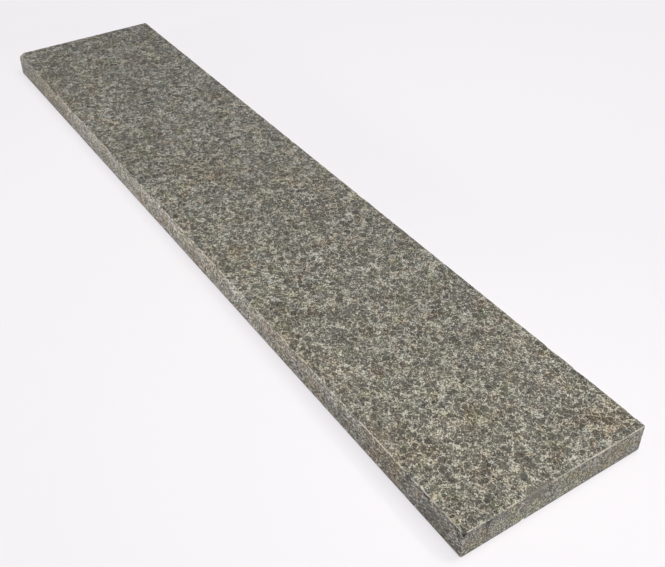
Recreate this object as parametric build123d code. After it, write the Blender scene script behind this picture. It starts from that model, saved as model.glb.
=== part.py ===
"""Basalt edging stone: one sawn slab with a flamed top, eased arrises and a few handling chips.

The slab lies flat on its sawn bed. X runs along the stone, Y across it and Z up. The origin is the
middle of the bed, the +X end is the near end and the -Y edge is the front edge. Sizes are in millimetres.
"""

import os
from dataclasses import dataclass
from math import sqrt

from build123d import *

# The slab
LENGTH = 1000.0
WIDTH = 200.0
THICKNESS = 30.0

# The eased arrises: how far each kind of edge is rounded
TOP_ARRIS_RADIUS = 1.4
BED_ARRIS_RADIUS = 0.8
CORNER_RADIUS = 1.8


@dataclass(frozen=True)
class ArrisChip:
    """A shell-shaped flake off a straight arris, with its middle that far from the near front corner."""

    from_corner: float
    length: float
    depth: float


@dataclass(frozen=True)
class CornerChip:
    """A flake off a corner: its reach along the three edges, and the radius of the hollow that it leaves."""

    reach: float
    hollow_radius: float


# Flakes off the near end's top arris
END_SPALL = ArrisChip(from_corner=80.0, length=44.0, depth=2.2)
END_NICK = ArrisChip(from_corner=26.0, length=11.0, depth=1.7)

# Flakes off the front edge's top arris
FRONT_FLAKE = ArrisChip(from_corner=69.0, length=14.0, depth=1.6)
FRONT_NICK = ArrisChip(from_corner=41.0, length=9.0, depth=1.4)

# A nick in the near end's bed arris
BED_NICK = ArrisChip(from_corner=64.0, length=6.0, depth=1.5)

# Bruised top corners at the two ends of the front edge
NEAR_BRUISE = CornerChip(reach=4.5, hollow_radius=25.0)
FAR_BRUISE = CornerChip(reach=7.5, hollow_radius=60.0)

# The planes that the arrises lie on
NEAR_X = LENGTH / 2
FAR_X = -LENGTH / 2
FRONT_Y = -WIDTH / 2
TOP_Z = THICKNESS
BED_Z = 0.0


def eased_slab():
    """The sawn slab with every arris rounded."""
    slab = Pos(0, 0, BED_Z) * Box(
        LENGTH, WIDTH, THICKNESS, align=(Align.CENTER, Align.CENTER, Align.MIN)
    )
    slab = fillet(slab.edges().filter_by(Axis.Z), CORNER_RADIUS)
    slab = fillet(slab.faces().sort_by(Axis.Z)[-1].edges(), TOP_ARRIS_RADIUS)
    return fillet(slab.faces().sort_by(Axis.Z)[0].edges(), BED_ARRIS_RADIUS)


def ball_off(point, outward, distance, radius):
    """A ball of that radius, with its centre that distance from point in the outward direction."""
    centre = Vector(*point) + Vector(*outward).normalized() * distance
    return Pos(*centre) * Sphere(radius)


def arris_scoop(chip, point, outward):
    """The ball that takes an arris chip with its middle at point: it bites the chip's depth along outward."""
    radius = ((chip.length / 2) ** 2 + chip.depth**2) / (2 * chip.depth)
    return ball_off(point, outward, radius - chip.depth, radius)


def end_scoop(chip, level_z, rise):
    """A chip of the near end's arris at level_z, where rise is +1 for the top and -1 for the bed."""
    return arris_scoop(chip, (NEAR_X, FRONT_Y + chip.from_corner, level_z), (1, 0, rise))


def front_scoop(chip):
    """A chip of the front edge's top arris."""
    return arris_scoop(chip, (NEAR_X - chip.from_corner, FRONT_Y, TOP_Z), (0, -1, 1))


def corner_scoop(chip, end_x, end_sign):
    """A chip of the front top corner at end_x, where end_sign is +1 at the near end and -1 at the far one."""
    distance = sqrt(chip.hollow_radius**2 - 2 * chip.reach**2 / 3) - chip.reach / sqrt(3)
    return ball_off((end_x, FRONT_Y, TOP_Z), (end_sign, -1, 1), distance, chip.hollow_radius)


def edging_stone():
    """The whole stone: the eased slab less its chips."""
    scoops = [
        end_scoop(END_SPALL, TOP_Z, 1),
        end_scoop(END_NICK, TOP_Z, 1),
        end_scoop(BED_NICK, BED_Z, -1),
        front_scoop(FRONT_FLAKE),
        front_scoop(FRONT_NICK),
        corner_scoop(NEAR_BRUISE, NEAR_X, 1),
        corner_scoop(FAR_BRUISE, FAR_X, -1),
    ]
    stone = eased_slab()
    for scoop in scoops:
        stone -= scoop
    return stone.solid()


os.makedirs("parts", exist_ok=True)
stone = edging_stone()
stone.label = "edging_stone"
export_step(stone, "parts/edging_stone.step")
print("volume", round(stone.volume), "mm3", "size", stone.bounding_box().size)
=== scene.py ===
"""The looks of a basalt edging stone: flamed top, sawn edges, eased and chipped arrises, on a pale floor.

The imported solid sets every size. The stone is laid over that solid as one fine mesh, and its skin is
then roughened inwards by the same textures that colour it, so that relief and colour agree.
Lengths are in millimetres, and become metres where they meet Blender.
"""

import logging
from dataclasses import dataclass, replace
from enum import Enum

import bpy
import numpy as np
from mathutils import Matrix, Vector
from mathutils.bvhtree import BVHTree


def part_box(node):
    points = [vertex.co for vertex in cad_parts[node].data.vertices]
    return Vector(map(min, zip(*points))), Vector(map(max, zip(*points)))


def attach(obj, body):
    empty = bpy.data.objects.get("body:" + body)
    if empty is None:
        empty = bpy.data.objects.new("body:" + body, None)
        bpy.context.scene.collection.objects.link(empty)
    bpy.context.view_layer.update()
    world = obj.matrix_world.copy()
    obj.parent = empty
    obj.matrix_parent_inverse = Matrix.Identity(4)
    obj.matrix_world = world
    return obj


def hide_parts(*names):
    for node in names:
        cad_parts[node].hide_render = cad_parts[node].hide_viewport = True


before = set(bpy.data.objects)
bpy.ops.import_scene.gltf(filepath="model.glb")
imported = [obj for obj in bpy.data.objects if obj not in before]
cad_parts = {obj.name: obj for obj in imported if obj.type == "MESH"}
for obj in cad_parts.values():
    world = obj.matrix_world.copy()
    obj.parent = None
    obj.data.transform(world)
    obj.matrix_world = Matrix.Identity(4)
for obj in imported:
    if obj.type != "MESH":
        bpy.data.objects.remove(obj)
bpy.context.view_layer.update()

log = logging.getLogger("edging_stone")

MM = 0.001
SOLID = "edging_stone"
BODY = "root"
PIECE = "basalt_edging_stone"
BAKE_MAP = "OFBake"
CHIP_MARK = "chip"
SHADOW_SLIT_MARK = "shadow_slit"
BARE_AND_HIGHLIGHT_MARK = "bare_and_highlight"

Socket = bpy.types.NodeSocket
Outlets = bpy.types.NodeOutputs
Feed = float | int | str | tuple | Socket
Colour = tuple[float, float, float, float]


def shade(red: float, green: float, blue: float) -> Colour:
    """Turns a screen colour into linear light, by the curve of sRGB.

    Args:
        red: Red, from 0 to 255.
        green: Green, from 0 to 255.
        blue: Blue, from 0 to 255.

    Returns:
        The colour in linear light, with full alpha.
    """
    screen = np.array([red, green, blue]) / 255.0
    light = np.where(screen <= 0.04045, screen / 12.92, ((screen + 0.055) / 1.055) ** 2.4)
    return (float(light[0]), float(light[1]), float(light[2]), 1.0)


class Wire(Enum):
    """What a node group's socket carries."""

    VALUE = "NodeSocketFloat"
    VECTOR = "NodeSocketVector"
    COLOUR = "NodeSocketColor"
    GEOMETRY = "NodeSocketGeometry"


class Side(Enum):
    """The stone's six sides."""

    TOP = "top"
    FRONT = "front"
    BACK = "back"
    NEAR = "near"
    FAR = "far"
    BED = "bed"


class NodeBoard:
    """A node tree with short calls: each one places a node, feeds it and gives back what it puts out."""

    def __init__(self, tree: bpy.types.NodeTree) -> None:
        """Takes the tree to draw on."""
        self.tree = tree

    def feed(self, socket: Socket, value: Feed) -> None:
        """Links a socket to a value, or sets it where the value is a plain number, colour or name.

        Args:
            socket: The input to feed.
            value: What it gets.
        """
        if isinstance(value, Socket):
            self.tree.links.new(value, socket)
        else:
            socket.default_value = value

    def place(self, kind: str, feeds: dict[str | int, Feed], **settings: object) -> bpy.types.Node:
        """Places a node.

        Args:
            kind: Blender's name for the node type.
            feeds: What each input gets, by name or number.
            **settings: Properties of the node itself.

        Returns:
            The new node.
        """
        node = self.tree.nodes.new(kind)
        for name, value in settings.items():
            setattr(node, name, value)
        for name, value in feeds.items():
            self.feed(node.inputs[name], value)
        return node

    def math(self, operation: str, *values: Feed) -> Socket:
        """One step of arithmetic.

        Args:
            operation: Blender's name for the step.
            *values: The numbers that go in.

        Returns:
            The socket with the answer.
        """
        return self.place("ShaderNodeMath", dict(enumerate(values)), operation=operation).outputs[0]

    def vector(self, operation: str, *values: Feed) -> Socket:
        """One step of vector arithmetic.

        Args:
            operation: Blender's name for the step.
            *values: The vectors that go in. For SCALE the second one is a number.

        Returns:
            The socket with the answer.
        """
        feeds: dict[str | int, Feed] = dict(enumerate(values))
        if operation == "SCALE":
            feeds = {0: values[0], "Scale": values[1]}
        return self.place("ShaderNodeVectorMath", feeds, operation=operation).outputs["Vector"]

    def split(self, vector: Feed) -> tuple[Socket, ...]:
        """The three parts of a vector or colour."""
        return tuple(self.place("ShaderNodeSeparateXYZ", {0: vector}).outputs)

    def join(self, across: Feed, along: Feed, up: Feed) -> Socket:
        """A vector from its three parts."""
        return self.place("ShaderNodeCombineXYZ", {0: across, 1: along, 2: up}).outputs[0]

    def ramp(self, value: Feed, low: Feed, high: Feed, start: Feed = 0.0, end: Feed = 1.0) -> Socket:
        """A smooth step.

        Args:
            value: What is read.
            low: Where the step begins.
            high: Where it is complete.
            start: What it gives before low.
            end: What it gives after high.

        Returns:
            The socket with the step's value.
        """
        feeds = {0: value, 1: low, 2: high, 3: start, 4: end}
        return self.place("ShaderNodeMapRange", feeds, interpolation_type="SMOOTHSTEP").outputs[0]

    def slope(self, value: Feed, low: float, high: float) -> Socket:
        """Goes straight from 0 to 1 as value goes from low to high."""
        return self.place("ShaderNodeMapRange", {0: value, 1: low, 2: high}).outputs[0]

    def blend(self, share: Feed, first: Feed, second: Feed) -> Socket:
        """Goes from one number to another as share goes from 0 to 1."""
        return self.place("ShaderNodeMix", {0: share, 2: first, 3: second}, data_type="FLOAT").outputs[0]

    def tint(self, share: Feed, first: Feed, second: Feed, mode: str = "MIX") -> Socket:
        """Lays one colour on another.

        Args:
            share: How much of the second colour shows.
            first: The colour below.
            second: The colour on top.
            mode: Blender's name for the way they mix.

        Returns:
            The socket with the mixed colour.
        """
        feeds = {0: share, 6: first, 7: second}
        return self.place("ShaderNodeMix", feeds, data_type="RGBA", blend_type=mode).outputs[2]

    def inset(self, place: Feed, half: Feed) -> Socket:
        """How far a place lies inside a half width, on either side of the middle."""
        return self.math("SUBTRACT", half, self.math("ABSOLUTE", place))

    def rate(self, size: Feed) -> Feed:
        """How often a pattern repeats in a millimetre.

        Args:
            size: The pattern's size, in millimetres.

        Returns:
            The rate, as a plain number or as a socket.
        """
        if isinstance(size, Socket):
            return self.math("DIVIDE", 1.0, size)
        return 1.0 / size

    def noise(self, point: Feed, size: Feed, detail: float = 1.0, rough: float = 0.5) -> bpy.types.Node:
        """Soft noise.

        Args:
            point: Where it is read, in millimetres.
            size: The size of its lumps, in millimetres.
            detail: How many finer octaves it has.
            rough: How strong the finer octaves are.

        Returns:
            The noise node, with the outputs Fac and Color.
        """
        feeds = {"Vector": point, "Scale": self.rate(size), "Detail": detail, "Roughness": rough}
        return self.place("ShaderNodeTexNoise", feeds)

    def cells(self, point: Feed, size: Feed, feature: str = "F1") -> bpy.types.Node:
        """Cells that fill space.

        Args:
            point: Where they are read, in millimetres.
            size: How far apart their middles are, in millimetres.
            feature: Blender's name for what is measured.

        Returns:
            The cell node, with the outputs Distance and Color.
        """
        feeds = {"Vector": point, "Scale": self.rate(size)}
        return self.place("ShaderNodeTexVoronoi", feeds, feature=feature)


class Effect:
    """A node group with named sockets, built once for each kind of tree and placed with its own values."""

    name = "effect"
    inlets: dict[str, Wire] = {}
    outlets: dict[str, Wire] = {}

    @classmethod
    def draw(cls, board: NodeBoard, given: Outlets) -> dict[str, Socket]:
        """Draws the group's inside.

        Args:
            board: The group's own tree.
            given: The group's inlets, by name.

        Returns:
            What each outlet gets, by name.
        """
        raise NotImplementedError

    @classmethod
    def group(cls, tree_kind: str) -> bpy.types.NodeTree:
        """The group for one kind of tree, which is drawn the first time that it is asked for.

        Args:
            tree_kind: Blender's name for the kind of tree.

        Returns:
            The group's tree.
        """
        name = f"{cls.name}.{tree_kind}"
        known = bpy.data.node_groups.get(name)
        if known:
            return known
        tree = bpy.data.node_groups.new(name, tree_kind)
        for inlet, wire in cls.inlets.items():
            tree.interface.new_socket(inlet, in_out="INPUT", socket_type=wire.value)
        for outlet, wire in cls.outlets.items():
            tree.interface.new_socket(outlet, in_out="OUTPUT", socket_type=wire.value)
        board = NodeBoard(tree)
        given = board.place("NodeGroupInput", {}).outputs
        board.place("NodeGroupOutput", cls.draw(board, given))
        return tree

    @classmethod
    def place(cls, board: NodeBoard, feeds: dict[str, Feed]) -> Outlets:
        """Places the group.

        Args:
            board: The tree that it goes into.
            feeds: What each inlet gets, by name.

        Returns:
            The group's outlets, by name.
        """
        tree_kind = board.tree.bl_idname
        node = board.tree.nodes.new(tree_kind.replace("Tree", "Group"))
        node.node_tree = cls.group(tree_kind)
        for name, value in feeds.items():
            board.feed(node.inputs[name], value)
        return node.outputs


class CrystalMosaic(Effect):
    """Rounded dark crystals in a paler, crumbling ground, with patches of finer and of coarser ones."""

    name = "crystal_mosaic"
    inlets = {"Point": Wire.VECTOR, "Crystal Size": Wire.VALUE, "Ragged": Wire.VALUE}
    outlets = {"Crystal": Wire.VALUE, "Kind": Wire.VALUE, "Crumb": Wire.VALUE, "Patch": Wire.VALUE}

    EVEN = 0.5
    BEND_MM = 4.0
    GRIT_MM = 0.9
    CRUMB_MM = 1.0
    CRUMBLE = 0.6
    GRIT_SHARE = 0.4
    POOR = 0.05
    RICH = 0.4
    REACHES = (0.46, 1.0)
    EDGE = 0.25
    FAINTEST = 0.66
    PATCH_MM = 11.0
    SIZES = (0.64, 1.12)
    SIZE_PATCH_MM = 16.0
    LARGE_FROM = 0.42
    LARGE_FULL = 0.54

    @classmethod
    def draw(cls, board: NodeBoard, given: Outlets) -> dict[str, Socket]:
        """Draws the mosaic.

        Args:
            board: The group's own tree.
            given: The group's inlets, by name.

        Returns:
            What each outlet gets, by name.
        """
        point = given["Point"]
        drift = board.noise(point, cls.BEND_MM, detail=1.0).outputs["Color"]
        sway = board.vector("SUBTRACT", drift, (cls.EVEN, cls.EVEN, cls.EVEN))
        bent = board.vector("ADD", point, board.vector("SCALE", sway, given["Ragged"]))
        grit = board.noise(point, cls.GRIT_MM, detail=1.0).outputs["Fac"]
        loose = board.math("SUBTRACT", grit, cls.EVEN)

        crystals = []
        kinds = []
        for scale in cls.SIZES:
            size = board.math("MULTIPLY", given["Crystal Size"], scale)
            cell = board.cells(bent, size)
            next_one = board.cells(bent, size, "F2").outputs["Distance"]
            away = board.math("DIVIDE", cell.outputs["Distance"], next_one)
            away = board.math("MULTIPLY_ADD", loose, cls.CRUMBLE, away)
            fullness, darkness, kind = board.split(cell.outputs["Color"])
            reach = board.ramp(fullness, cls.POOR, cls.RICH, *cls.REACHES)
            inside = board.ramp(away, board.math("SUBTRACT", reach, cls.EDGE), reach, 1.0, 0.0)
            crystals.append(board.math("MULTIPLY", inside, board.blend(darkness, cls.FAINTEST, 1.0)))
            kinds.append(kind)
        which = board.noise(point, cls.SIZE_PATCH_MM, detail=2.0).outputs["Fac"]
        large = board.ramp(which, cls.LARGE_FROM, cls.LARGE_FULL)

        crumb = board.split(board.cells(point, cls.CRUMB_MM).outputs["Color"])[0]
        crumb = board.blend(cls.GRIT_SHARE, crumb, grit)
        patch = board.noise(point, cls.PATCH_MM, detail=2.0).outputs["Fac"]
        return {
            "Crystal": board.blend(large, *crystals),
            "Kind": board.blend(large, *kinds),
            "Crumb": crumb,
            "Patch": patch,
        }


class MineralColour(Effect):
    """The mosaic's colours: dark crystals from slate to brown, a middle ground and pale feldspar."""

    name = "mineral_colour"
    inlets = {
        "Crystal": Wire.VALUE,
        "Kind": Wire.VALUE,
        "Crumb": Wire.VALUE,
        "Patch": Wire.VALUE,
        "Grain": Wire.VALUE,
        "Patchiness": Wire.VALUE,
        "Dark": Wire.COLOUR,
        "Middle": Wire.COLOUR,
        "Pale": Wire.COLOUR,
    }
    outlets = {"Color": Wire.COLOUR, "Tone": Wire.VALUE}

    NET_TONE = 0.61
    CRYSTAL_TONE = -0.44
    GRAIN_IN_CRYSTAL = 0.45
    EVEN = 0.5
    MIDDLE_AT = 0.42
    SLATE = (0.982, 1.0, 1.028, 1.0)
    BROWN = (1.024, 0.993, 0.95, 1.0)

    @classmethod
    def draw(cls, board: NodeBoard, given: Outlets) -> dict[str, Socket]:
        """Draws the colours.

        Args:
            board: The group's own tree.
            given: The group's inlets, by name.

        Returns:
            What each outlet gets, by name.
        """
        tone = board.math("MULTIPLY_ADD", given["Crystal"], cls.CRYSTAL_TONE, cls.NET_TONE)
        in_crystal = board.blend(given["Crystal"], 1.0, cls.GRAIN_IN_CRYSTAL)
        grain = board.math("MULTIPLY", given["Grain"], in_crystal)
        for sway, share in ((given["Crumb"], grain), (given["Patch"], given["Patchiness"])):
            tone = board.math("MULTIPLY_ADD", board.math("SUBTRACT", sway, cls.EVEN), share, tone)
        colour = board.tint(board.slope(tone, 0.0, cls.MIDDLE_AT), given["Dark"], given["Middle"])
        colour = board.tint(board.slope(tone, cls.MIDDLE_AT, 1.0), colour, given["Pale"])
        own_tint = board.tint(given["Kind"], cls.SLATE, cls.BROWN)
        return {"Color": board.tint(given["Crystal"], colour, own_tint, "MULTIPLY"), "Tone": tone}


class MineralStain(Effect):
    """Faint clouds of brown, olive and slate over several crystals, and slow changes along the stone."""

    name = "mineral_stain"
    inlets = {"Color": Wire.COLOUR, "Point": Wire.VECTOR, "Strength": Wire.VALUE, "Drift": Wire.VALUE}
    outlets = {"Color": Wire.COLOUR}

    CLOUDS = (
        (12.0, (0.0, 0.0, 0.0), shade(255, 226, 198)),
        (17.0, (310.0, 0.0, 0.0), shade(240, 250, 214)),
        (10.0, (0.0, 470.0, 0.0), shade(210, 230, 250)),
        (80.0, (0.0, 0.0, 590.0), shade(255, 240, 214)),
    )
    CLOUD_FROM = 0.5
    CLOUD_FULL = 0.72
    DRIFT_MM = 700.0
    DRIFT_SLANT = -2.5
    FAR_TINT = (0.988, 1.0, 1.032, 1.0)
    NEAR_TINT = (1.018, 1.0, 0.942, 1.0)
    BROAD_MM = 60.0
    BROAD_FROM = 0.3
    BROAD_FULL = 0.7
    BROAD = 0.07

    @classmethod
    def draw(cls, board: NodeBoard, given: Outlets) -> dict[str, Socket]:
        """Draws the clouds.

        Args:
            board: The group's own tree.
            given: The group's inlets, by name.

        Returns:
            What each outlet gets, by name.
        """
        colour = given["Color"]
        for size, away, stain in cls.CLOUDS:
            point = board.vector("ADD", given["Point"], away)
            cloud = board.noise(point, size, detail=2.0).outputs["Fac"]
            cover = board.ramp(cloud, cls.CLOUD_FROM, cls.CLOUD_FULL)
            share = board.math("MULTIPLY", cover, given["Strength"])
            colour = board.tint(share, colour, stain, "MULTIPLY")
        along, across, _ = board.split(given["Point"])
        drift = board.math("MULTIPLY_ADD", across, cls.DRIFT_SLANT, along)
        browner = board.slope(drift, -cls.DRIFT_MM, cls.DRIFT_MM)
        drift_tint = board.tint(browner, cls.FAR_TINT, cls.NEAR_TINT)
        colour = board.tint(given["Drift"], colour, drift_tint, "MULTIPLY")
        broad = board.noise(given["Point"], cls.BROAD_MM, detail=2.0).outputs["Fac"]
        level = board.ramp(broad, cls.BROAD_FROM, cls.BROAD_FULL, 1.0 - cls.BROAD, 1.0 + cls.BROAD)
        return {"Color": board.vector("SCALE", colour, level)}


class ArrisWearHighlightAndShade(Effect):
    """Thin lines along the arrises: the top's, which is wear and a painted highlight, and the upright
    corners', both broken, and the bed's, which carries painted contact shade.
    """

    name = "arris_wear_highlight_and_shade"
    inlets = {
        "Point": Wire.VECTOR,
        "Half Length": Wire.VALUE,
        "Half Width": Wire.VALUE,
        "Height": Wire.VALUE,
        "Reach": Wire.VALUE,
    }
    outlets = {"Top": Wire.VALUE, "Corner": Wire.VALUE, "Bed": Wire.VALUE}

    CORE = 0.4
    BREAK_MM = 12.0
    BREAK_FROM = 0.38
    BREAK_FULL = 0.58

    @classmethod
    def draw(cls, board: NodeBoard, given: Outlets) -> dict[str, Socket]:
        """Draws the lines.

        Args:
            board: The group's own tree.
            given: The group's inlets, by name.

        Returns:
            What each outlet gets, by name.
        """
        along, across, up = board.split(given["Point"])
        to_end = board.inset(along, given["Half Length"])
        to_edge = board.inset(across, given["Half Width"])
        inward = board.math("MINIMUM", to_end, to_edge)
        below = board.math("SUBTRACT", given["Height"], up)
        core = board.math("MULTIPLY", given["Reach"], cls.CORE)
        meetings = {"Top": (inward, below), "Corner": (to_end, to_edge), "Bed": (inward, up)}
        lines = {}
        for name, faces in meetings.items():
            away = board.math("MAXIMUM", *faces)
            lines[name] = board.ramp(away, core, given["Reach"], 1.0, 0.0)
        wobble = board.noise(given["Point"], cls.BREAK_MM, detail=3.0, rough=0.6).outputs["Fac"]
        unbroken = board.ramp(wobble, cls.BREAK_FROM, cls.BREAK_FULL)
        for name in ("Top", "Corner"):
            lines[name] = board.math("MULTIPLY", lines[name], unbroken)
        return lines


class SawMarks(Effect):
    """Fine scratches that the saw leaves along a sawn side."""

    name = "saw_marks"
    inlets = {"Along": Wire.VALUE, "Across": Wire.VALUE, "Length": Wire.VALUE, "Pitch": Wire.VALUE}
    outlets = {"Scratch": Wire.VALUE}

    @classmethod
    def draw(cls, board: NodeBoard, given: Outlets) -> dict[str, Socket]:
        """Draws the scratches.

        Args:
            board: The group's own tree.
            given: The group's inlets, by name.

        Returns:
            What each outlet gets, by name.
        """
        along = board.math("DIVIDE", given["Along"], given["Length"])
        across = board.math("DIVIDE", given["Across"], given["Pitch"])
        lanes = board.join(along, across, 0.0)
        return {"Scratch": board.noise(lanes, 1.0, detail=2.0, rough=0.6).outputs["Fac"]}


@dataclass(frozen=True)
class SlabSize:
    """The slab's box, in millimetres."""

    length: float
    width: float
    height: float

    @classmethod
    def of_solid(cls, name: str) -> "SlabSize":
        """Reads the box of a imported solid."""
        low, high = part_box(name)
        return cls(*((high - low) / MM))


@dataclass(frozen=True)
class StoneFinish:
    """One finish of the basalt: its minerals and stains, its worn arrises with a painted highlight along the
    top's, painted shade along the bed's arris and in slits, and how rough it is.
    """

    name: str
    crystal_mm: float
    ragged_mm: float
    squeeze: tuple[float, float, float]
    grain: float
    patchiness: float
    dark: Colour
    middle: Colour
    pale: Colour
    stain: float
    drift: float
    # The pale colour and its cover for worn arrises and for the painted highlight along the top's arris.
    worn_and_highlight: Colour
    wear_and_highlight: float
    smooth: float
    rough: float
    bump_mm: float
    arris_line_reach_mm: float = 1.5
    broken: Colour = shade(105, 101, 93)
    # The colour of the painted contact shade along the bed's arris.
    contact_shade: Colour = shade(58, 63, 74)
    # The colour of the painted shadow in slits under chips and in the corner hole.
    slit_shadow: Colour = shade(34, 33, 30)

    BROKEN_COVER = 0.8
    CORNER_COVER = 0.6
    CONTACT_SHADE_COVER = 0.8
    SLIT_SHADOW_COVER = 0.9
    GLOSS = 0.2
    GRIT_MM = 0.9
    MINERAL_RELIEF = 0.5

    def point(self, board: NodeBoard) -> Socket:
        """The place on the stone, in millimetres."""
        place = board.place("ShaderNodeTexCoord", {}).outputs["Object"]
        return board.vector("SCALE", place, 1.0 / MM)

    def tone_shift(self, board: NodeBoard, point: Socket, slab: SlabSize) -> Feed:
        """What darkens or lightens the colour besides the minerals."""
        return 1.0

    def material(self, slab: SlabSize) -> bpy.types.Material:
        """Builds the finish as a Blender material.

        Args:
            slab: The stone's box, which places the worn arrises.

        Returns:
            The material.
        """
        material = bpy.data.materials.new(self.name)
        material.use_nodes = True
        board = NodeBoard(material.node_tree)
        shader = material.node_tree.nodes["Principled BSDF"]
        point = self.point(board)

        mosaic = CrystalMosaic.place(board, {
            "Point": board.vector("MULTIPLY", point, self.squeeze),
            "Crystal Size": self.crystal_mm,
            "Ragged": self.ragged_mm,
        })
        minerals = MineralColour.place(board, {
            "Crystal": mosaic["Crystal"],
            "Kind": mosaic["Kind"],
            "Crumb": mosaic["Crumb"],
            "Patch": mosaic["Patch"],
            "Grain": self.grain,
            "Patchiness": self.patchiness,
            "Dark": self.dark,
            "Middle": self.middle,
            "Pale": self.pale,
        })
        colour = board.vector("SCALE", minerals["Color"], self.tone_shift(board, point, slab))
        colour = MineralStain.place(board, {
            "Color": colour,
            "Point": point,
            "Strength": self.stain,
            "Drift": self.drift,
        })["Color"]
        board.feed(shader.inputs["Base Color"], self.marked(board, colour, point, slab))

        board.feed(shader.inputs["Roughness"], board.blend(mosaic["Crystal"], self.rough, self.smooth))
        shader.inputs["Specular IOR Level"].default_value = self.GLOSS
        grit = board.noise(point, self.GRIT_MM, detail=2.0, rough=0.6).outputs["Fac"]
        height = board.math("MULTIPLY_ADD", minerals["Tone"], self.MINERAL_RELIEF, grit)
        bump = board.place("ShaderNodeBump", {"Height": height, "Distance": self.bump_mm * MM})
        board.feed(shader.inputs["Normal"], bump.outputs["Normal"])
        return material

    def marked(self, board: NodeBoard, colour: Feed, point: Socket, slab: SlabSize) -> Socket:
        """Lays marks over the stone's colour: fresh breaks, worn arrises with a painted highlight along the
        top's, painted contact shade along the bed's arris and painted shadow in slits and the corner hole.

        Args:
            board: The material's own tree.
            colour: The colour of the whole stone.
            point: The place on the stone, in millimetres.
            slab: The stone's box, which places the arrises.

        Returns:
            The socket with the marked colour.
        """
        chip, bare_and_highlight, shadow_slit = (
            board.place("ShaderNodeAttribute", {}, attribute_name=mark).outputs["Fac"]
            for mark in (CHIP_MARK, BARE_AND_HIGHLIGHT_MARK, SHADOW_SLIT_MARK)
        )
        lines = ArrisWearHighlightAndShade.place(board, {
            "Point": point,
            "Half Length": slab.length / 2,
            "Half Width": slab.width / 2,
            "Height": slab.height,
            "Reach": self.arris_line_reach_mm,
        })
        corner = board.math("MULTIPLY", lines["Corner"], self.CORNER_COVER)
        # Pale lines: wear and a painted highlight along the top's arris, wear on the upright corners, and
        # pale flakes.
        pale = board.math("MAXIMUM", board.math("MAXIMUM", lines["Top"], corner), bare_and_highlight)
        for mark, cover, paint in (
            (chip, self.BROKEN_COVER, self.broken),
            (pale, self.wear_and_highlight, self.worn_and_highlight),
            # Painted contact shade: a dark line along the bed's arris.
            (lines["Bed"], self.CONTACT_SHADE_COVER, self.contact_shade),
            # Painted shadow in the slits under chips and in the corner hole.
            (shadow_slit, self.SLIT_SHADOW_COVER, self.slit_shadow),
        ):
            colour = board.tint(board.math("MULTIPLY", mark, cover), colour, paint)
        return colour


@dataclass(frozen=True)
class SawnFinish(StoneFinish):
    """A sawn finish: the same basalt with a disc saw's scratches across it."""

    scratch_mm: float = 12.0
    pitch_mm: float = 1.0
    scratch: float = 0.1
    # How much painted light makes the long sides paler towards the top, and between which depths below it.
    lit_brow: float = 0.23
    lit_brow_from_mm: float = 17.0
    lit_brow_full_mm: float = 7.5
    upright: bool = True

    LONG_SIDE_FROM_MM = 3.0
    LONG_SIDE_FULL_MM = 1.0
    SCRATCH_FROM = 0.25
    SCRATCH_FULL = 0.75

    def tone_shift(self, board: NodeBoard, point: Socket, slab: SlabSize) -> Feed:
        """The scratches, a little darker and lighter than the stone, and painted light that makes the long
        sides paler towards the top.

        Args:
            board: The material's own tree.
            point: The place on the stone, in millimetres.
            slab: The stone's box, which places the long sides.

        Returns:
            The socket with the factor on the colour.
        """
        along, across, up = board.split(point)
        marks = SawMarks.place(board, {
            "Along": board.math("ADD", along, across) if self.upright else along,
            "Across": up if self.upright else across,
            "Length": self.scratch_mm,
            "Pitch": self.pitch_mm,
        })
        to_edge = board.inset(across, slab.width / 2)
        on_long_side = board.ramp(to_edge, self.LONG_SIDE_FULL_MM, self.LONG_SIDE_FROM_MM, 1.0, 0.0)
        swing = (1.0 - self.scratch, 1.0 + self.scratch)
        scratch = board.ramp(marks["Scratch"], self.SCRATCH_FROM, self.SCRATCH_FULL, *swing)
        # Painted light: the long sides grow paler towards the top.
        down = board.math("SUBTRACT", slab.height, up)
        lit_brow = board.ramp(down, self.lit_brow_full_mm, self.lit_brow_from_mm, self.lit_brow, 0.0)
        return board.math("MULTIPLY_ADD", lit_brow, on_long_side, scratch)


FLAMED = StoneFinish(
    name="flamed_basalt",
    crystal_mm=6.2,
    ragged_mm=6.0,
    squeeze=(1.0, 1.0, 1.0),
    grain=1.25,
    patchiness=0.25,
    dark=shade(39, 37, 33),
    middle=shade(107, 104, 97),
    pale=shade(197, 194, 183),
    stain=0.36,
    drift=1.0,
    worn_and_highlight=shade(196, 191, 180),
    wear_and_highlight=0.65,
    smooth=0.62,
    rough=0.9,
    bump_mm=0.3,
)

SAWN = SawnFinish(
    name="sawn_basalt",
    crystal_mm=2.2,
    ragged_mm=3.0,
    squeeze=(0.6, 0.95, 1.0),
    grain=1.95,
    patchiness=0.2,
    dark=shade(63, 61, 57),
    middle=shade(117, 114, 109),
    pale=shade(199, 196, 188),
    stain=0.5,
    drift=0.3,
    worn_and_highlight=shade(200, 195, 184),
    wear_and_highlight=0.65,
    smooth=0.55,
    rough=0.8,
    bump_mm=0.12,
)

SAWN_END = replace(
    SAWN,
    name="sawn_basalt_end",
    grain=1.5,
    dark=shade(67, 65, 60),
    middle=shade(122, 119, 112),
    pale=shade(199, 196, 186),
)

SAWN_BED = SawnFinish(
    name="sawn_basalt_bed",
    crystal_mm=3.0,
    ragged_mm=6.0,
    squeeze=(0.7, 0.7, 1.0),
    grain=1.1,
    patchiness=0.3,
    dark=shade(88, 84, 77),
    middle=shade(132, 128, 119),
    pale=shade(186, 182, 171),
    stain=0.35,
    drift=0.3,
    worn_and_highlight=shade(180, 175, 165),
    wear_and_highlight=0.3,
    smooth=0.55,
    rough=0.75,
    bump_mm=0.1,
    scratch_mm=60.0,
    pitch_mm=2.6,
    lit_brow=0.0,
    upright=False,
)


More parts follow.
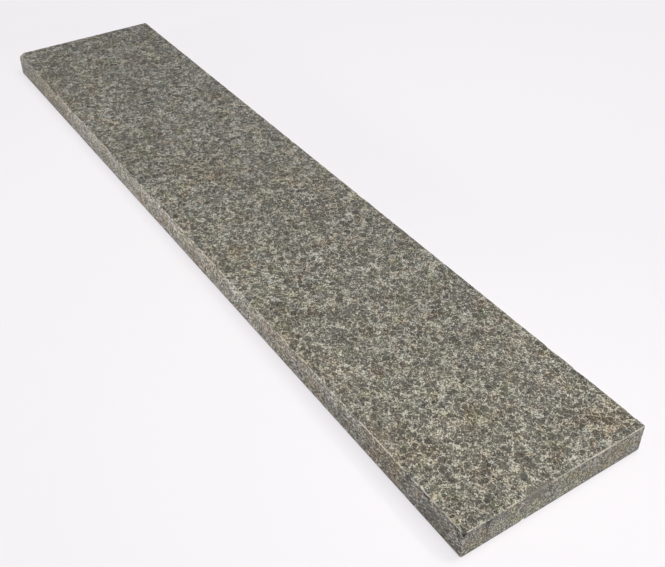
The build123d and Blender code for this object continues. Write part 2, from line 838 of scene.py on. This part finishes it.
@dataclass(frozen=True)
class SkinRelief:
    """How deep the skin is roughened, in millimetres: the flamed top and the sawn edges."""

    swell_mm: float = 0.45
    crystal_mm: float = 0.4
    crumble_mm: float = 0.3
    sawn_mm: float = 0.16
    nick_mm: float = 0.8
    nick_reach_mm: float = 2.2
    shadow_slit_dent_mm: float = 1.1

    SWELL_SIZE_MM = 13.0
    CRUMBLE_SIZE_MM = 4.0
    SAWN_SIZE_MM = 6.0
    TOP_FROM = 0.4
    TOP_FULL = 0.9
    NICK_CORE_MM = 0.3
    NICK_SIZE_MM = 8.0
    NICK_FROM = 0.56
    NICK_FULL = 0.7

    def carve(self, piece: bpy.types.Object, slab: SlabSize) -> None:
        """Roughens a mesh inwards, for good.

        Args:
            piece: The stone's mesh object.
            slab: The stone's box, which places the arrises.
        """
        tree = bpy.data.node_groups.new("skin_relief", "GeometryNodeTree")
        for direction in ("INPUT", "OUTPUT"):
            tree.interface.new_socket("Geometry", in_out=direction, socket_type=Wire.GEOMETRY.value)
        board = NodeBoard(tree)
        mesh = board.place("NodeGroupInput", {}).outputs["Geometry"]
        inward = board.vector("SCALE", board.place("GeometryNodeInputNormal", {}).outputs["Normal"], -MM)
        offset = board.vector("SCALE", inward, self.depth(board, slab))
        moved = board.place("GeometryNodeSetPosition", {"Geometry": mesh, "Offset": offset})
        board.place("NodeGroupOutput", {"Geometry": moved.outputs["Geometry"]})

        piece.modifiers.new("relief", "NODES").node_group = tree
        depsgraph = bpy.context.evaluated_depsgraph_get()
        carved = bpy.data.meshes.new_from_object(piece.evaluated_get(depsgraph))
        piece.modifiers.clear()
        piece.data = carved

    def depth(self, board: NodeBoard, slab: SlabSize) -> Socket:
        """How deep the skin lies under the solid at each place, in millimetres.

        Args:
            board: The relief's own tree.
            slab: The stone's box.

        Returns:
            The socket with the depth.
        """
        place = board.place("GeometryNodeInputPosition", {}).outputs["Position"]
        point = board.vector("SCALE", place, 1.0 / MM)
        mosaic = CrystalMosaic.place(board, {
            "Point": point,
            "Crystal Size": FLAMED.crystal_mm,
            "Ragged": FLAMED.ragged_mm,
        })
        swell = board.noise(point, self.SWELL_SIZE_MM, detail=1.0).outputs["Fac"]
        crumble = board.noise(point, self.CRUMBLE_SIZE_MM, detail=1.0).outputs["Fac"]
        ground = board.math("SUBTRACT", 1.0, mosaic["Crystal"])
        flamed = board.math("MULTIPLY", swell, self.swell_mm)
        flamed = board.math("MULTIPLY_ADD", ground, self.crystal_mm, flamed)
        flamed = board.math("MULTIPLY_ADD", crumble, self.crumble_mm, flamed)
        ripple = board.noise(point, self.SAWN_SIZE_MM, detail=2.0).outputs["Fac"]
        sawn = board.math("MULTIPLY", ripple, self.sawn_mm)

        upward = board.split(board.place("GeometryNodeInputNormal", {}).outputs["Normal"])[2]
        depth = board.blend(board.ramp(upward, self.TOP_FROM, self.TOP_FULL), sawn, flamed)
        depth = board.math("MULTIPLY", depth, board.ramp(upward, -self.TOP_FULL, -self.TOP_FROM))

        along, across, up = board.split(point)
        inward = board.math(
            "MINIMUM", board.inset(along, slab.length / 2), board.inset(across, slab.width / 2)
        )
        away = board.math("MAXIMUM", inward, board.math("SUBTRACT", slab.height, up))
        near_arris = board.ramp(away, self.NICK_CORE_MM, self.nick_reach_mm, 1.0, 0.0)
        nick = board.noise(point, self.NICK_SIZE_MM, detail=2.0, rough=0.6).outputs["Fac"]
        nick = board.ramp(nick, self.NICK_FROM, self.NICK_FULL)
        nick = board.math("MULTIPLY", board.math("MULTIPLY", nick, near_arris), self.nick_mm)
        # The skin is dented a little under the painted shadow of the slits and the corner hole.
        shadow_slit = board.place("GeometryNodeInputNamedAttribute", {"Name": SHADOW_SLIT_MARK}).outputs["Attribute"]
        return board.math("MULTIPLY_ADD", shadow_slit, self.shadow_slit_dent_mm, board.math("ADD", depth, nick))


@dataclass(frozen=True)
class BakeLayout:
    """Where each side lies on the square map meant for the stone's colours, in map pixels."""

    pixels: float = 1024.0
    gap: float = 8.0
    density: float = 1.75
    bed_density: float = 0.64

    def spot(self, side: Side, places: np.ndarray, slab: SlabSize) -> np.ndarray:
        """Lays the corners of one side's faces on the map. Long sides are cut in two at the middle.

        Args:
            side: The side.
            places: The corners' places, in millimetres, with one row of corners for each face.
            slab: The stone's box.

        Returns:
            Each corner's place on the map, from 0 to 1.
        """
        along, across, up = places[..., 0], places[..., 1], places[..., 2]
        half = slab.length / 2
        is_near = (along.mean(axis=1) > 0.0)[:, None]
        run = along + np.where(is_near, 0.0, half)
        deep = across + slab.width / 2
        top_row = slab.width * self.density + self.gap
        edge_row = slab.height * self.density + self.gap
        column = self.gap * 2 + half * self.density
        if side is Side.TOP:
            u, v = self.gap + run * self.density, self.gap + deep * self.density + is_near * top_row
        elif side in (Side.FRONT, Side.BACK):
            first = self.gap + 2 * top_row + (2 * edge_row if side is Side.BACK else 0.0)
            u, v = self.gap + run * self.density, first + up * self.density + is_near * edge_row
        elif side in (Side.NEAR, Side.FAR):
            first = column + (edge_row if side is Side.FAR else 0.0)
            u, v = first + up * self.density, self.gap + deep * self.density
        else:
            u = column + deep * self.bed_density
            v = self.gap + top_row + (along + half) * self.bed_density
        return np.stack([u, v], axis=-1) / self.pixels


@dataclass
class StoneMesh:
    """The fine mesh of the stone, in millimetres: lines of the grid lie close together by the arrises."""

    slab: SlabSize
    step: float = 1.75
    arris_lines: tuple[float, ...] = (0.0, 0.45, 0.95, 1.6, 2.6, 4.0)
    wall_step: float = 5.0
    wall_lines: tuple[float, ...] = (0.0, 0.5, 1.05, 2.0, 3.1, 4.4)
    bed_rings: tuple[float, ...] = (0.5, 1.1, 2.4)
    bed_step: float = 14.0
    bed_inset: float = 9.0

    def __post_init__(self) -> None:
        """Starts with no corners and no faces."""
        self.corners: list[np.ndarray] = []
        self.faces: list[tuple[Side, np.ndarray]] = []
        self.sides_of_rim = np.array([], dtype=object)
        self.count = 0

    @staticmethod
    def lines(span: float, step: float, close: tuple[float, ...]) -> np.ndarray:
        """Places of grid lines over a span.

        Args:
            span: The whole width.
            step: About how far apart the lines are in the middle.
            close: The lines by each end, from that end inwards.

        Returns:
            The places, from 0 to span.
        """
        middle = span - 2 * close[-1]
        number = 2 * round(middle / step / 2)
        inner = close[-1] + middle * np.arange(1, number) / number
        return np.concatenate([close, inner, span - np.array(close[::-1])])

    def add_corners(self, places: np.ndarray) -> np.ndarray:
        """Adds corners.

        Args:
            places: The corners' places, one in each row.

        Returns:
            The corners' numbers.
        """
        self.corners.append(places)
        self.count += len(places)
        return np.arange(self.count - len(places), self.count)

    @staticmethod
    def round_the_rim(numbers: np.ndarray) -> np.ndarray:
        """The rim of a grid of corner numbers, from its first corner along the front edge and round."""
        return np.concatenate([numbers[:-1, 0], numbers[-1, :-1], numbers[:0:-1, -1], numbers[0, :0:-1]])

    @staticmethod
    def band(upper: np.ndarray, lower: np.ndarray) -> np.ndarray:
        """The four-cornered faces between two closed rings of as many corners."""
        return np.stack([lower, np.roll(lower, -1), np.roll(upper, -1), upper], axis=1)

    def grid(self, xs: np.ndarray, ys: np.ndarray, z: float) -> np.ndarray:
        """Adds a flat grid of corners.

        Args:
            xs: Where its lines lie along the slab.
            ys: Where its lines lie across the slab.
            z: Its height.

        Returns:
            The corners' numbers, by x and then y.
        """
        x, y = np.meshgrid(xs, ys, indexing="ij")
        places = np.stack([x.ravel(), y.ravel(), np.full(x.size, z)], axis=1)
        return self.add_corners(places).reshape(x.shape)

    def build_top(self) -> np.ndarray:
        """Adds the top's grid of faces.

        Returns:
            The corner numbers of its rim.
        """
        slab = self.slab
        xs = self.lines(slab.length, self.step, self.arris_lines) - slab.length / 2
        ys = self.lines(slab.width, self.step, self.arris_lines) - slab.width / 2
        numbers = self.grid(xs, ys, slab.height)
        quads = np.stack([numbers[:-1, :-1], numbers[1:, :-1], numbers[1:, 1:], numbers[:-1, 1:]], axis=-1)
        self.faces.append((Side.TOP, quads.reshape(-1, 4)))
        self.sides_of_rim = np.repeat(
            [Side.FRONT, Side.NEAR, Side.BACK, Side.FAR],
            [len(xs) - 1, len(ys) - 1, len(xs) - 1, len(ys) - 1],
        )
        return self.round_the_rim(numbers)

    def build_walls(self, rim: np.ndarray) -> np.ndarray:
        """Adds the four sides below the top.

        Args:
            rim: The corner numbers of the top's rim.

        Returns:
            The corner numbers of the bed's rim.
        """
        slab = self.slab
        places = np.concatenate(self.corners)[rim]
        levels = self.lines(slab.height, self.wall_step, self.wall_lines)[::-1][1:]
        upper = rim
        for level in levels:
            lower = self.add_corners(np.column_stack([places[:, :2], np.full(len(rim), level)]))
            quads = self.band(upper, lower)
            for side in (Side.FRONT, Side.NEAR, Side.BACK, Side.FAR):
                self.faces.append((side, quads[self.sides_of_rim == side]))
            upper = lower
        return upper

    def build_bed(self, rim: np.ndarray) -> None:
        """Adds the bed: fine rings by its arrises, then a zip of triangles to a coarser grid.

        Args:
            rim: The corner numbers of the bed's rim.
        """
        slab = self.slab
        half = np.array([slab.length, slab.width]) / 2
        places = np.concatenate(self.corners)[rim][:, :2]
        outer = rim
        for inset in self.bed_rings:
            shrunk = places * (half - inset) / half
            inner = self.add_corners(np.column_stack([shrunk, np.zeros(len(rim))]))
            self.faces.append((Side.BED, self.band(outer, inner)))
            outer = inner
        number_x, number_y = (2 * np.round((half - self.bed_inset) / self.bed_step)).astype(int)
        xs = np.linspace(-1.0, 1.0, number_x + 1) * (half[0] - self.bed_inset)
        ys = np.linspace(-1.0, 1.0, number_y + 1) * (half[1] - self.bed_inset)
        numbers = self.grid(xs, ys, 0.0)
        quads = np.stack([numbers[:-1, :-1], numbers[:-1, 1:], numbers[1:, 1:], numbers[1:, :-1]], axis=-1)
        self.faces.append((Side.BED, quads.reshape(-1, 4)))
        self.faces.append((Side.BED, self.zip(outer, self.round_the_rim(numbers))))

    def zip(self, outer: np.ndarray, inner: np.ndarray) -> np.ndarray:
        """Triangles between two closed rings that start at the same corner of the slab.

        Args:
            outer: The outer ring's corner numbers.
            inner: The inner ring's corner numbers.

        Returns:
            The triangles, facing down.
        """
        ways = [self.way_round(ring) for ring in (outer, inner)]
        triangles = []
        i, j = 0, 0
        while i < len(outer) or j < len(inner):
            here, there = outer[i % len(outer)], inner[j % len(inner)]
            if j == len(inner) or (i < len(outer) and ways[0][i] <= ways[1][j]):
                i += 1
                triangles.append((here, there, outer[i % len(outer)]))
            else:
                j += 1
                triangles.append((there, inner[j % len(inner)], here))
        return np.array(triangles)

    def way_round(self, ring: np.ndarray) -> np.ndarray:
        """How far round the slab the steps of a ring lie.

        Args:
            ring: The ring's corner numbers.

        Returns:
            The place of each step's middle, at one unit for each side of the slab.
        """
        places = np.concatenate(self.corners)[ring][:, :2]
        middles = (places + np.roll(places, -1, axis=0)) / 2
        share = (middles / np.abs(places).max(axis=0) + 1) / 2
        steps = np.roll(places, -1, axis=0) - places
        lengthwise = np.abs(steps[:, 0]) > np.abs(steps[:, 1])
        front_or_back = np.where(steps[:, 0] > 0, share[:, 0], 3 - share[:, 0])
        near_or_far = np.where(steps[:, 1] > 0, 1 + share[:, 1], 4 - share[:, 1])
        return np.where(lengthwise, front_or_back, near_or_far)

    def build(self) -> None:
        """Builds the whole closed mesh as a sharp box."""
        self.build_bed(self.build_walls(self.build_top()))


@dataclass(frozen=True)
class ScarAndPaintedLightSpot:
    """A spot on the stone, in millimetres, for marks of handling and for painted shadow and highlight: its
    middle, its reach each way and how strong it is at most.
    """

    middle: tuple[float, float, float]
    reach: tuple[float, float, float]
    most: float = 1.0

    STEEPNESS = 1.6

    def strength(self, places: np.ndarray) -> np.ndarray:
        """How strongly the mark shows at each place: the most in its middle and 0 beyond its reach."""
        away = np.linalg.norm((places - np.array(self.middle)) / np.array(self.reach), axis=1)
        return np.clip(self.STEEPNESS * (1.0 - away), 0.0, 1.0) * self.most


# Painted shadow: dark slits under chips on the front and the near end below their top arrises, and the dark
# hole at the near front corner.
SHADOW_SLITS = (
    ScarAndPaintedLightSpot((431.0, -100.0, 26.6), (6.5, 2.5, 1.7)),
    ScarAndPaintedLightSpot((453.5, -100.0, 27.3), (7.0, 2.5, 1.7)),
    ScarAndPaintedLightSpot((476.0, -100.0, 27.8), (4.0, 2.5, 1.5)),
    ScarAndPaintedLightSpot((492.0, -100.0, 27.3), (5.5, 2.5, 1.7)),
    ScarAndPaintedLightSpot((499.5, -98.8, 27.0), (4.2, 4.4, 3.4)),
    ScarAndPaintedLightSpot((500.0, -73.5, 26.0), (2.5, 5.5, 1.7)),
    ScarAndPaintedLightSpot((500.0, -9.0, 22.0), (2.5, 1.9, 6.0)),
)

# A spall on the near end's top arris, and a darker patch low on the front face by the near end.
SPALLS_AND_DARK_PATCH = (
    ScarAndPaintedLightSpot((500.0, -24.0, 25.0), (4.0, 15.0, 8.5)),
    ScarAndPaintedLightSpot((472.0, -100.0, 13.0), (17.0, 3.0, 16.0), 0.5),
)

# The first is a pale flake below the corner hole; the other two are pale stretches of the front's and the
# near end's top arrises, a painted highlight where they catch light.
FLAKES_AND_HIGHLIGHTS = (
    ScarAndPaintedLightSpot((500.0, -99.0, 20.0), (2.6, 2.2, 5.0), 0.8),
    ScarAndPaintedLightSpot((453.0, -100.0, 29.4), (7.5, 1.6, 1.4)),
    ScarAndPaintedLightSpot((500.0, 45.0, 29.6), (1.6, 62.0, 1.6), 0.45),
)


class EdgingStone:
    """The stone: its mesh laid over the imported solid, roughened, mapped and dressed."""

    FINISHES = (FLAMED, SAWN, SAWN_END, SAWN_BED)
    FINISH_OF_SIDE = {
        Side.TOP: FLAMED,
        Side.FRONT: SAWN,
        Side.BACK: SAWN,
        Side.NEAR: SAWN_END,
        Side.FAR: SAWN_END,
        Side.BED: SAWN_BED,
    }
    CHIP_FROM_MM = 0.75
    CHIP_FULL_MM = 1.3

    def __init__(self, solid: str) -> None:
        """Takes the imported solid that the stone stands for."""
        self.solid = solid
        self.slab = SlabSize.of_solid(solid)
        self.relief = SkinRelief()
        self.layout = BakeLayout()

    def on_solid(self, places: np.ndarray) -> tuple[np.ndarray, np.ndarray]:
        """Brings places on the sharp box onto the solid's eased and chipped skin.

        Args:
            places: Places on the box, in millimetres.

        Returns:
            The places on the solid in millimetres, and how far each one moved.
        """
        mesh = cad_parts[self.solid].data
        faces = [tuple(face.vertices) for face in mesh.polygons]
        tree = BVHTree.FromPolygons([vertex.co for vertex in mesh.vertices], faces)
        found = np.array([tree.find_nearest(Vector(place))[0] for place in places * MM]) / MM
        return found, np.linalg.norm(found - places, axis=1)

    def finish_of(self, side: Side) -> int:
        """The number of the finish that a side wears."""
        return self.FINISHES.index(self.FINISH_OF_SIDE[side])

    def build(self) -> bpy.types.Object:
        """Builds and dresses the stone.

        Returns:
            The finished piece.
        """
        net = StoneMesh(self.slab)
        net.build()
        box_places = np.concatenate(net.corners)
        places, moved = self.on_solid(box_places)
        faces = [face for _, group in net.faces for face in group.tolist()]
        mesh = bpy.data.meshes.new(PIECE)
        mesh.from_pydata((places * MM).tolist(), [], faces)
        mesh.polygons.foreach_set("use_smooth", np.ones(len(faces), bool))
        slots = [np.full(len(group), self.finish_of(side)) for side, group in net.faces]
        mesh.polygons.foreach_set("material_index", np.concatenate(slots).astype(np.int32))
        chip = np.clip((moved - self.CHIP_FROM_MM) / (self.CHIP_FULL_MM - self.CHIP_FROM_MM), 0.0, 1.0)
        # Chips, the spall and the darker front patch, all in the colour of broken stone.
        chip = np.max([chip] + [dark_spot.strength(box_places) for dark_spot in SPALLS_AND_DARK_PATCH], axis=0)
        # Painted shadow in the slits and the corner hole.
        shadow_slit = np.max([slit_shadow.strength(box_places) for slit_shadow in SHADOW_SLITS], axis=0)
        # Pale flakes, and the painted highlight along stretches of the top arrises.
        bare_and_highlight = np.max([pale_spot.strength(box_places) for pale_spot in FLAKES_AND_HIGHLIGHTS], axis=0)
        for mark, values in ((CHIP_MARK, chip), (SHADOW_SLIT_MARK, shadow_slit), (BARE_AND_HIGHLIGHT_MARK, bare_and_highlight)):
            mesh.attributes.new(mark, "FLOAT", "POINT").data.foreach_set("value", values.astype(np.float32))
        spots = [self.layout.spot(side, box_places[group], self.slab).ravel() for side, group in net.faces]
        layer = mesh.uv_layers.new(name=BAKE_MAP)
        layer.uv.foreach_set("vector", np.concatenate(spots).astype(np.float32))
        for finish in self.FINISHES:
            mesh.materials.append(finish.material(self.slab))
        mesh.update()

        piece = bpy.data.objects.new(PIECE, mesh)
        bpy.context.scene.collection.objects.link(piece)
        self.relief.carve(piece, self.slab)
        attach(piece, BODY)
        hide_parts(self.solid)
        return piece


@dataclass(frozen=True)
class Panel:
    """A square lamp with a soft face, in metres and watts."""

    name: str
    watts: float
    size: float
    place: tuple[float, float, float]
    aim: tuple[float, float, float]
    shade: tuple[float, float, float]
    spread_deg: float = 180.0

    def hang(self) -> None:
        """Hangs the lamp in the scene."""
        lamp = bpy.data.lights.new(self.name, "AREA")
        lamp.energy = self.watts
        lamp.size = self.size
        lamp.color = self.shade
        lamp.spread = np.radians(self.spread_deg)
        light = bpy.data.objects.new(self.name, lamp)
        light.location = self.place
        light.rotation_mode = "QUATERNION"
        light.rotation_quaternion = (Vector(self.place) - Vector(self.aim)).to_track_quat("Z", "Y")
        bpy.context.scene.collection.objects.link(light)


@dataclass(frozen=True)
class Studio:
    """The pale floor, the soft light and the camera, in metres."""

    eye: tuple[float, float, float] = (0.80603, -0.42210, 0.62112)
    aim: tuple[float, float, float] = (0.19331, -0.01521, 0.030)
    lens_mm: float = 50.803
    sensor_mm: float = 36.0
    floor_size: float = 60.0
    floor_drop: float = 0.0002
    floor_shade: Colour = shade(131, 129, 131)
    floor_glow: float = 0.653
    glow_shade: Colour = (1.0, 0.975, 1.0, 1.0)
    sky: float = 0.22
    sky_shade: Colour = (0.97, 0.975, 1.0, 1.0)
    backdrop: Colour = shade(233, 231, 234)
    overhead: float = 1.62
    overhead_shade: tuple[float, float, float] = (0.97, 0.985, 1.0)
    overhead_spread_deg: float = 20.0
    panels: tuple[Panel, ...] = (
        Panel("key", 12.5, 0.5, (0.35, 0.5, 1.85), (0.0, 0.0, 0.0), (1.0, 0.985, 0.955)),
        Panel("near", 0.33, 0.25, (0.62, 0.62, 1.25), (0.5, -0.05, 0.0), (1.0, 0.97, 0.92), 38.0),
        Panel("side", 1.37, 0.5, (-0.08, -3.25, 0.61), (-0.08, -0.1, 0.015), (1.0, 0.97, 0.92), 24.0),
        Panel("end", 0.73, 0.5, (3.6, 0.15, 0.75), (0.5, 0.0, 0.015), (1.0, 0.98, 0.93), 24.0),
    )

    def build(self) -> None:
        """Builds the studio."""
        self.build_floor()
        self.build_light()
        self.build_camera()
        bpy.context.scene.view_settings.view_transform = "Standard"

    def build_floor(self) -> None:
        """A plain floor that is clear from below, so that the bed can be looked at."""
        reach = self.floor_size / 2
        rim = [(-reach, -reach, 0.0), (reach, -reach, 0.0), (reach, reach, 0.0), (-reach, reach, 0.0)]
        mesh = bpy.data.meshes.new("floor")
        mesh.from_pydata(rim, [], [(0, 1, 2, 3)])
        floor = bpy.data.objects.new("floor", mesh)
        floor.location.z = -self.floor_drop
        bpy.context.scene.collection.objects.link(floor)

        material = bpy.data.materials.new("floor_paint")
        material.use_nodes = True
        board = NodeBoard(material.node_tree)
        paint = material.node_tree.nodes["Principled BSDF"]
        paint.inputs["Base Color"].default_value = self.floor_shade
        paint.inputs["Roughness"].default_value = 1.0
        paint.inputs["Specular IOR Level"].default_value = 0.0
        paint.inputs["Emission Color"].default_value = self.glow_shade
        paint.inputs["Emission Strength"].default_value = self.floor_glow
        back = board.place("ShaderNodeNewGeometry", {}).outputs["Backfacing"]
        clear = board.place("ShaderNodeBsdfTransparent", {}).outputs["BSDF"]
        sides = board.place("ShaderNodeMixShader", {0: back, 1: paint.outputs["BSDF"], 2: clear})
        board.feed(material.node_tree.nodes["Material Output"].inputs["Surface"], sides.outputs["Shader"])
        mesh.materials.append(material)

    def build_light(self) -> None:
        """An even room with a pale backdrop, a light from straight above and the panels."""
        world = bpy.data.worlds.new("studio")
        world.use_nodes = True
        board = NodeBoard(world.node_tree)
        room = board.place("ShaderNodeBackground", {"Color": self.sky_shade, "Strength": self.sky})
        seen = board.place("ShaderNodeBackground", {"Color": self.backdrop})
        is_seen = board.place("ShaderNodeLightPath", {}).outputs["Is Camera Ray"]
        both = board.place("ShaderNodeMixShader", {0: is_seen, 1: room.outputs[0], 2: seen.outputs[0]})
        board.feed(world.node_tree.nodes["World Output"].inputs["Surface"], both.outputs["Shader"])
        bpy.context.scene.world = world

        overhead = bpy.data.lights.new("overhead", "SUN")
        overhead.energy = self.overhead
        overhead.color = self.overhead_shade
        overhead.angle = np.radians(self.overhead_spread_deg)
        bpy.context.scene.collection.objects.link(bpy.data.objects.new("overhead", overhead))
        for panel in self.panels:
            panel.hang()

    def build_camera(self) -> None:
        """A level camera that looks down along the stone from its near end."""
        data = bpy.data.cameras.new("camera")
        data.lens = self.lens_mm
        data.sensor_width = self.sensor_mm
        camera = bpy.data.objects.new("camera", data)
        camera.location = self.eye
        camera.rotation_mode = "QUATERNION"
        camera.rotation_quaternion = (Vector(self.aim) - Vector(self.eye)).to_track_quat("-Z", "Y")
        bpy.context.scene.collection.objects.link(camera)
        bpy.context.scene.camera = camera


def main() -> None:
    """Builds the stone, then its studio, and reports the piece."""
    logging.basicConfig(level=logging.INFO, format="%(name)s: %(message)s")
    piece = EdgingStone(SOLID).build()
    piece.data.calc_loop_triangles()
    triangles = len(piece.data.loop_triangles)
    log.info("%s: %d triangles and %d finishes", piece.name, triangles, len(piece.data.materials))
    Studio().build()


if __name__ == "__main__":
    main()
